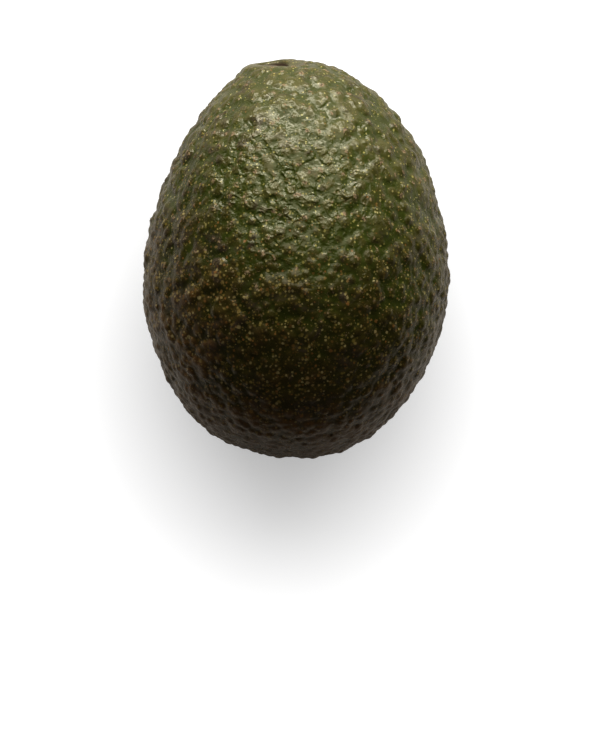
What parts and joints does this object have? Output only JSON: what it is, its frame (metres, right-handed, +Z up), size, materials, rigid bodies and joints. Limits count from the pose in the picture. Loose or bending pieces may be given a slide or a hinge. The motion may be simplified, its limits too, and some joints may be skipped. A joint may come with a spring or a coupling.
{
  "type": "avocado",
  "caption": "Ripe avocado with dark green and brown pebbled skin, lying on its side, with a dry woody stem button sunk in the socket at its narrow end.",
  "frame": {"origin": "on the surface that the fruit lies on, under the middle of its outline", "axes": "+Z up from the surface; +Y towards the stem end, along the fruit; +X across the fruit, to the right in the picture"},
  "size_m": [0.0712, 0.0934, 0.0683],
  "materials": {
    "skin": "waxy pebbled skin, olive green at the stem end to brown black at the blossom end, with many tiny pale spots",
    "dry_stem": "dry rough brown stub"
  },
  "bodies": {
    "root": {"fruit": "skin", "stem_button": "dry_stem"}
  },
  "joints": []
}
